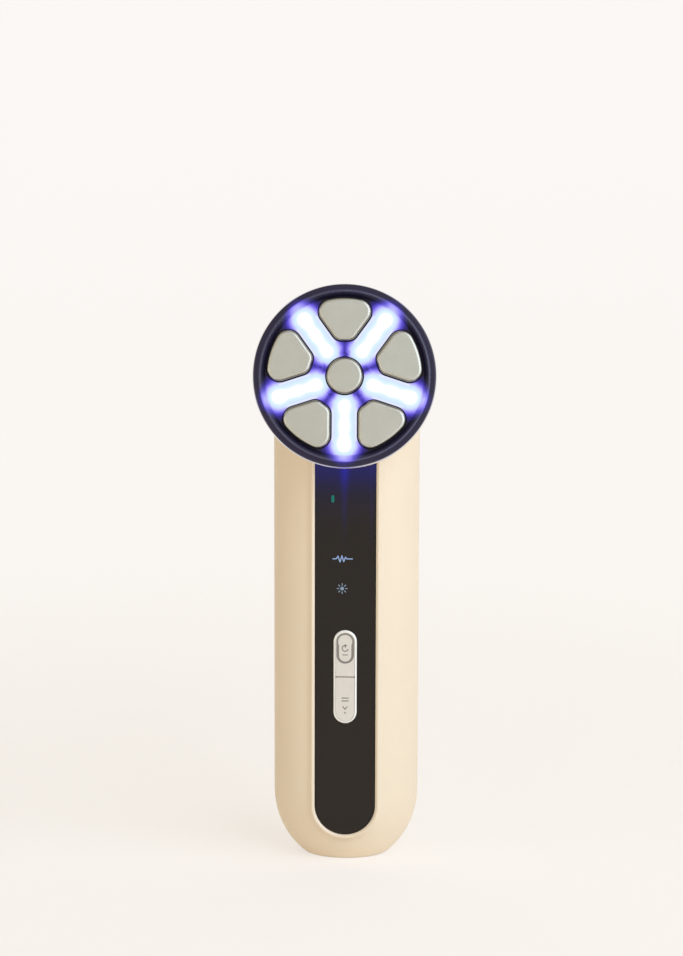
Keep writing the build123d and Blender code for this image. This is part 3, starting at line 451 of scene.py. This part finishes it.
def bare_metal(name, colour, rough, brush=None):
    """Plain metal with fine marks, drawn out along one way if brush says so."""
    shader = material_shader(name)
    marks = shader.noise(0.3, detail=4.0, stretch=brush)
    cloud = shader.noise(5)
    return shader.finish(
        Base_Color=shader.mix(cloud, scaled(colour, 0.9), scaled(colour, 1.05)),
        Metallic=1.0,
        Roughness=rough + (marks - 0.5) * 0.18,
        Normal=shader.bump(marks, 0.003),
    )


def circuit_board():
    """Green solder mask over copper tracks."""
    shader = material_shader("circuit_board")
    x, _, z = shader.axes()
    wave = (sine(x * 2.1) + sine(z * 1.3)) * 0.6
    track = step(abs(wave), 0.16, 0.08)
    cloud = shader.noise(2)
    return shader.finish(
        Base_Color=shader.mix(track * 0.8, tone(18, 84, 48), tone(38, 124, 70)),
        Roughness=0.3 + cloud * 0.12,
        Normal=shader.bump(track, 0.02),
    )


def clear_cap():
    """Milky cap of a small light."""
    shader = material_shader("clear_cap")
    cloud = shader.noise(0.4)
    return shader.finish(
        Base_Color=shader.mix(cloud, tone(238, 236, 220), tone(250, 250, 246)),
        Roughness=0.2 + cloud * 0.1,
        Normal=shader.bump(cloud, 0.004),
    )


def wound_wire():
    """Turns of enamelled wire side by side, with painted shade between the turns and a painted highlight
    along each.
    """
    shader = material_shader("wound_wire")
    x, _, _ = shader.axes()
    turn = sine(x * 12)
    return shader.finish(
        # Painted shade and highlight: darker between the turns and paler along their crests.
        Base_Color=shader.mix(turn * 0.5 + 0.5, tone(120, 58, 26), tone(206, 118, 66)),
        Metallic=0.9,
        Roughness=0.32 + turn * 0.05,
        Normal=shader.bump(turn, 0.05),
    )


def battery_foil():
    """Crinkled foil pouch."""
    shader = material_shader("battery_foil")
    crease = shader.noise(4, detail=5.0, rough=0.6)
    return shader.finish(
        Base_Color=shader.mix(crease, tone(168, 170, 174), tone(206, 208, 212)),
        Metallic=0.9,
        Roughness=0.28 + crease * 0.14,
        Normal=shader.bump(crease, 0.15),
    )


def lead_jacket():
    """Red jacket on one lead and black on the other."""
    shader = material_shader("lead_jacket")
    x, _, _ = shader.axes()
    grain = shader.noise(0.4)
    return shader.finish(
        Base_Color=shader.mix(step(x, -0.1, 0.1), tone(26, 26, 28), tone(176, 24, 20)),
        Roughness=0.4 + grain * 0.15,
        Normal=shader.bump(grain, 0.004),
    )


FINISHES = (
    (cream_plastic(), ("front_shell", "rear_shell")),
    (moulded("port_trim", tone(70, 66, 64), 0.5), ("port_plate",)),
    (dark_ring(), ("head_ring",)),
    (lit_window(), ("light_window",)),
    (electrode_metal(), ("electrode_top", "electrode_upper_right", "electrode_lower_right",
                         "electrode_lower_left", "electrode_upper_left", "electrode_center")),
    (soft_rubber("seal_rubber"), ("electrode_seals", "head_gasket")),
    (black_panel(), ("control_panel",)),
    (key_pearl(), ("power_key", "mode_key")),
    (bright_bezel(), ("key_bezel",)),
    (moulded("white_reflector", tone(240, 240, 238), 0.35), ("reflector", "light_guide")),
    (moulded("black_nylon", tone(24, 24, 26), 0.5), ("power_switch", "mode_switch", "control_chips",
                                                     "cable_sockets", "usb_tongue")),
    (moulded("ivory_nylon", tone(222, 218, 206), 0.45), ("power_plunger", "mode_plunger",
                                                         "battery_plug", "head_cable")),
    (circuit_board(), ("led_board", "main_board")),
    (clear_cap(), ("leds", "mark_leds", "mark_lenses")),
    (bare_metal("gold_plate", tone(228, 186, 96), 0.22), ("electrode_contacts",)),
    (bare_metal("zinc_steel", tone(186, 188, 192), 0.34), ("head_screws", "shell_screws", "board_screws")),
    (soft_rubber("adhesive_foam"), ("panel_tape", "battery_tape")),
    (moulded("grey_tray", tone(122, 122, 124), 0.5), ("battery_tray",)),
    (battery_foil(), ("battery",)),
    (lead_jacket(), ("battery_leads",)),
    (moulded("ferrite", tone(48, 48, 52), 0.55, grain_mm=0.4, grain_deep=0.01), ("transformer_core",)),
    (wound_wire(), ("transformer_winding",)),
    (bare_metal("drawn_can", tone(206, 208, 212), 0.3, brush=(1, 0.1, 1)), ("capacitors",)),
    (bare_metal("stamped_steel", tone(196, 198, 202), 0.26, brush=(1, 1, 0.1)), ("usb_shell",)),
)

for material, names in FINISHES:
    for name in names:
        nodes[name].data.materials.clear()
        nodes[name].data.materials.append(material)

# ---------------------------------------------------------------- modelling by hand


def edit(piece):
    """Edit mode on this piece alone."""
    bpy.context.view_layer.objects.active = piece
    piece.select_set(True)
    bpy.ops.object.mode_set(mode="EDIT")


def edit_edges(piece, wanted):
    """Edit mode with only those edges selected whose two ends are wanted."""
    edit(piece)
    bpy.ops.mesh.select_mode(type="EDGE")
    bpy.ops.mesh.select_all(action="DESELECT")
    bpy.ops.object.mode_set(mode="OBJECT")
    for edge in piece.data.edges:
        one, other = (piece.data.vertices[end].co for end in edge.vertices)
        edge.select = wanted(one, other)
    bpy.ops.object.mode_set(mode="EDIT")


# ---------------------------------------------------------------- printed and lit marks

ARC_STEP = radians(9)
CORNER_SHARE = 0.499        # of a bar's thickness, so that its ends are round

# Places as x and z, and sizes, in millimetres
STATUS_AT = (-3.4, 100.75)
STATUS_LONG = 1.2
STATUS_THICK = 0.78

PULSE_AT = (-0.75, 84.5)
PULSE_THICK = 0.26
PULSE_POINTS = ((-2.6, 0), (-1.7, 0), (-1.25, 0.75), (-0.7, -0.85), (-0.2, 0.85), (0.3, -0.75),
                (0.75, 0.45), (1.1, 0), (2.6, 0))

SUN_AT = (-0.86, 76.4)
SUN_RADIUS = 0.26
SUN_THICK = 0.46
RAY_COUNT = 8
RAY_FAR = 1.12
RAY_LONG = 0.42
RAY_THICK = 0.24

SIGN_THICK = 0.24
POWER_AT = (0, 60.1)
POWER_RADIUS = 0.8
POWER_OPENING = radians(70)
POWER_TICK_UP = 0.65
POWER_TICK_LONG = 0.75
POWER_LINE_AT = (0, 58.3)
POWER_LINE_LONG = 1.3
POWER_LINE_THICK = 0.22

MODE_BARS_Z = (46.4, 45.6)
MODE_BAR_LONG = 1.7
MODE_BAR_THICK = 0.26
CHEVRON_POINTS = ((-0.6, 44.0), (0, 43.3), (0.6, 44.0))
MODE_DOT_AT = (0, 42.3)
MODE_DOT_LONG = 0.3


def bar(place, long, thick, depth, turn=0.0):
    """A flat bar with round ends on the face at this depth, turned from level."""
    x, z = place
    bpy.ops.object.select_all(action="DESELECT")
    bpy.ops.mesh.primitive_cube_add(size=1, location=(x * MM, -depth * MM, z * MM), rotation=(0, -turn, 0),
                                    scale=((long + thick) * MM, 2 * PRINT_PROUD * MM, thick * MM))
    piece = bpy.context.object
    bpy.ops.object.transform_apply(location=True, rotation=True, scale=True)
    edit_edges(piece, lambda one, other: abs(one.y - other.y) > PRINT_PROUD * MM)
    bpy.ops.mesh.bevel(offset=thick * MM * CORNER_SHARE, segments=6)
    bpy.ops.object.mode_set(mode="OBJECT")
    return piece


def arc(place, radius, thick, depth, start, sweep):
    """A flat arc of print round a middle, from a turn measured from the top."""
    x, z = place
    bpy.ops.object.select_all(action="DESELECT")
    bpy.ops.mesh.primitive_plane_add(
        size=1, location=((x + radius * sin(start)) * MM, -depth * MM, (z + radius * cos(start)) * MM),
        rotation=(0, pi / 2 + start, 0))
    piece = bpy.context.object
    piece.scale = (thick * MM, 2 * PRINT_PROUD * MM, 1)
    bpy.ops.object.transform_apply(location=True, rotation=True, scale=True)
    edit(piece)
    bpy.ops.mesh.select_all(action="SELECT")
    bpy.ops.mesh.spin(steps=round(sweep / ARC_STEP), angle=sweep,
                      center=(x * MM, -depth * MM, z * MM), axis=(0, 1, 0))
    bpy.ops.mesh.select_all(action="SELECT")
    bpy.ops.mesh.remove_doubles(threshold=0.001 * MM)
    bpy.ops.mesh.normals_make_consistent(inside=False)
    bpy.ops.object.mode_set(mode="OBJECT")
    return piece


def stroke(points, thick, depth):
    """Bars end to end through these points."""
    pieces = []
    for (x0, z0), (x1, z1) in zip(points, points[1:]):
        middle = ((x0 + x1) / 2, (z0 + z1) / 2)
        long = Vector((x1 - x0, z1 - z0)).length
        pieces.append(bar(middle, long, thick, depth, turn=atan2(z1 - z0, x1 - x0)))
    return pieces


def mark(name, pieces, material, body):
    """Join the strokes of a mark into one piece that rides on a body."""
    bpy.ops.object.select_all(action="DESELECT")
    for piece in pieces:
        piece.select_set(True)
    bpy.context.view_layer.objects.active = pieces[0]
    if len(pieces) > 1:
        bpy.ops.object.join()
    joined = bpy.context.view_layer.objects.active
    joined.name = name
    joined.data.materials.clear()
    joined.data.materials.append(material)
    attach(joined, body)


def lit_print(name, colour, strength):
    """A mark that lets light through the panel."""
    shader = material_shader(name)
    cloud = shader.noise(0.7, detail=2.0)
    return shader.finish(
        Base_Color=scaled(colour, 0.1),
        Roughness=0.2 + cloud * 0.05,
        Specular_IOR_Level=0.25,
        Emission_Color=shader.mix(cloud, scaled(colour, 0.9), colour),
        Emission_Strength=strength,
    )


def key_ink():
    """Grey ink printed on the keys."""
    shader = material_shader("key_ink")
    grey = tone(112, 107, 102)
    grain = shader.noise(0.15)
    return shader.finish(
        Base_Color=shader.mix(grain, scaled(grey, 0.85), grey),
        Roughness=0.5 + grain * 0.1,
        Normal=shader.bump(grain, 0.002),
    )


def status_light():
    """Short upright light under the head."""
    pieces = [bar(STATUS_AT, STATUS_LONG, STATUS_THICK, PANEL_DEPTH, turn=pi / 2)]
    mark("status_light", pieces, lit_print("status_green", tone(10, 118, 106), 0.85), "handle")


def pulse_mark():
    """Jagged line of a pulse."""
    middle_x, middle_z = PULSE_AT
    pieces = stroke([(middle_x + x, middle_z + z) for x, z in PULSE_POINTS], PULSE_THICK, PANEL_DEPTH)
    mark("pulse_mark", pieces, lit_print("pulse_blue", tone(156, 180, 224), 0.9), "handle")


def rays_mark():
    """Small sun: a dot with rays round it."""
    middle_x, middle_z = SUN_AT
    pieces = [arc(SUN_AT, SUN_RADIUS, SUN_THICK, PANEL_DEPTH, 0, 2 * pi)]
    for ray in range(RAY_COUNT):
        turn = ray * 2 * pi / RAY_COUNT
        place = (middle_x + RAY_FAR * cos(turn), middle_z + RAY_FAR * sin(turn))
        pieces.append(bar(place, RAY_LONG, RAY_THICK, PANEL_DEPTH, turn=turn))
    mark("rays_mark", pieces, lit_print("rays_blue", tone(136, 154, 174), 0.9), "handle")


def power_sign(material):
    """Open ring with a tick in its gap, over a short line."""
    x, z = POWER_AT
    pieces = [
        arc(POWER_AT, POWER_RADIUS, SIGN_THICK, KEY_DEPTH, POWER_OPENING / 2, 2 * pi - POWER_OPENING),
        bar((x, z + POWER_TICK_UP), POWER_TICK_LONG, SIGN_THICK, KEY_DEPTH, turn=pi / 2),
        bar(POWER_LINE_AT, POWER_LINE_LONG, POWER_LINE_THICK, KEY_DEPTH),
    ]
    mark("power_sign", pieces, material, "power_key")


def mode_sign(material):
    """Two bars over a chevron and a dot."""
    pieces = [bar((0, z), MODE_BAR_LONG, MODE_BAR_THICK, KEY_DEPTH) for z in MODE_BARS_Z]
    pieces += stroke(CHEVRON_POINTS, SIGN_THICK, KEY_DEPTH)
    pieces.append(bar(MODE_DOT_AT, MODE_DOT_LONG, MODE_BAR_THICK, KEY_DEPTH))
    mark("mode_sign", pieces, material, "mode_key")


status_light()
pulse_mark()
rays_mark()
sign_ink = key_ink()
power_sign(sign_ink)
mode_sign(sign_ink)

# ---------------------------------------------------------------- floor, light and camera

# Floor and wall, in metres
FLOOR_WIDE = 8
FLOOR_LONG = 3.2
FLOOR_MIDDLE = (0, -0.8, 0)
WALL_HIGH = 3
FLOOR_CURVE = 0.3

FLOOR_TONE = tone(250, 246, 242)
WALL_TONE = tone(251, 248, 245)
PAPER_TONE = tone(250, 243, 231)
SHADOW_SHARE = 0.4          # how much of the paper's real light and shadow shows beside the foot
FLOOR_LIFT = 1.28           # so that the floor beside the foot is as pale as the floor further off

# Where the paper's looks change, in millimetres from the foot
BESIDE_FOOT = 120
FURTHER_OFF = 520
WALL_FROM = 500
WALL_WHOLLY = 1000

ROOM_LIGHT = (1.0, 0.93, 0.8, 1.0)
ROOM_STRENGTH = 0.42

# Camera: the lens in pixels of the image, the sensor in millimetres, and the distance in metres
IMAGE_HIGH = 956
FOCAL_PIXELS = 2965
SENSOR = 36.0
CAMERA_FAR = 0.8
CAMERA_RISE = radians(10)
CAMERA_TURN = radians(1.42)
CAMERA_ROLL = radians(0.15)
AIM = Vector((-1.43, 0, 104.15)) * MM


def backdrop_paper():
    """Pale paper that the lens, gloss and glass see at its own colour, with a soft shadow near the foot."""
    shader = material_shader("backdrop")
    x, y, z = shader.axes()
    near = step((x * x + y * y) ** 0.5, FURTHER_OFF, BESIDE_FOOT)
    tint = shader.mix(step(y + z, WALL_FROM, WALL_WHOLLY), FLOOR_TONE, WALL_TONE)
    lifted = shader.mix(near, tint, scaled(FLOOR_TONE, 1 + (FLOOR_LIFT - 1) * SHADOW_SHARE))
    paper = shader.node("BsdfDiffuse", {"Color": PAPER_TONE})
    plain = shader.node("Emission", {"Color": lifted, "Strength": 1.0})
    lens = shader.node("LightPath", output="Is Camera Ray")
    outputs = lens.socket.node.outputs
    gloss = Value(shader, outputs["Is Glossy Ray"])
    glass = Value(shader, outputs["Is Transmission Ray"])
    seen = most(lens, most(gloss, glass))
    both = shader.node("MixShader", {0: (1 - near * SHADOW_SHARE) * seen, 1: paper, 2: plain})
    shader.node("OutputMaterial", {"Surface": both})
    return shader.owner


def backdrop():
    """A pale floor that curves up into a wall well behind the device."""
    bpy.ops.object.select_all(action="DESELECT")
    bpy.ops.mesh.primitive_plane_add(size=1, location=FLOOR_MIDDLE)
    stage = bpy.context.object
    stage.name = "backdrop"
    stage.scale = (FLOOR_WIDE, FLOOR_LONG, 1)
    bpy.ops.object.transform_apply(location=True, rotation=True, scale=True)
    edit_edges(stage, lambda one, other: min(one.y, other.y) > 0)
    bpy.ops.mesh.extrude_region_move(TRANSFORM_OT_translate={"value": (0, 0, WALL_HIGH)})
    edit_edges(stage, lambda one, other: min(one.y, other.y) > 0 and max(one.z, other.z) < FLOOR_CURVE)
    bpy.ops.mesh.bevel(offset=FLOOR_CURVE, segments=24)
    bpy.ops.object.mode_set(mode="OBJECT")
    bpy.ops.object.shade_smooth()
    stage.data.materials.append(backdrop_paper())


def softbox(name, place, aim, width, height, watts, colour):
    """A large soft lamp that faces a point, in metres."""
    lamp = bpy.data.lights.new(name, "AREA")
    lamp.shape = "RECTANGLE"
    lamp.size = width
    lamp.size_y = height
    lamp.energy = watts
    lamp.color = colour
    holder = bpy.data.objects.new(name, lamp)
    bpy.context.scene.collection.objects.link(holder)
    holder.location = place
    holder.rotation_euler = (Vector(aim) - Vector(place)).to_track_quat("-Z", "Y").to_euler()


def surroundings():
    """Soft warm light from all round, which the lens sees in the colour of the wall."""
    world = bpy.data.worlds.new("surroundings")
    bpy.context.scene.world = world
    shader = Shader(world)
    soft = shader.node("Background", {"Color": ROOM_LIGHT, "Strength": ROOM_STRENGTH})
    seen = shader.node("Background", {"Color": WALL_TONE, "Strength": 1.0})
    lens = shader.node("LightPath", output="Is Camera Ray")
    both = shader.node("MixShader", {0: lens, 1: soft, 2: seen})
    shader.node("OutputWorld", {"Surface": both})


def camera():
    """Long lens from in front and a little above."""
    lens = bpy.data.cameras.new("camera")
    lens.sensor_width = SENSOR
    lens.lens = FOCAL_PIXELS * SENSOR / IMAGE_HIGH
    lens.clip_start = 0.05
    lens.clip_end = 20
    holder = bpy.data.objects.new("camera", lens)
    bpy.context.scene.collection.objects.link(holder)
    level = cos(CAMERA_RISE)
    back = Vector((sin(CAMERA_TURN) * level, -cos(CAMERA_TURN) * level, sin(CAMERA_RISE)))
    holder.location = AIM + back * CAMERA_FAR
    holder.rotation_mode = "QUATERNION"
    roll = Matrix.Rotation(CAMERA_ROLL, 3, "Z").to_quaternion()
    holder.rotation_quaternion = (-back).to_track_quat("-Z", "Y") @ roll
    bpy.context.scene.camera = holder


backdrop()
softbox("key", place=(0.88, -0.78, 0.53), aim=(0, 0, 0.08), width=1.4, height=1.4, watts=15.8,
        colour=(0.833, 0.98, 1.21))
softbox("fill", place=(-0.9, -0.75, 0.27), aim=(0, 0, 0.05), width=1.3, height=0.52, watts=2.9,
        colour=(1.0, 0.93, 0.8))
surroundings()
camera()
bpy.context.scene.view_settings.view_transform = "Standard"
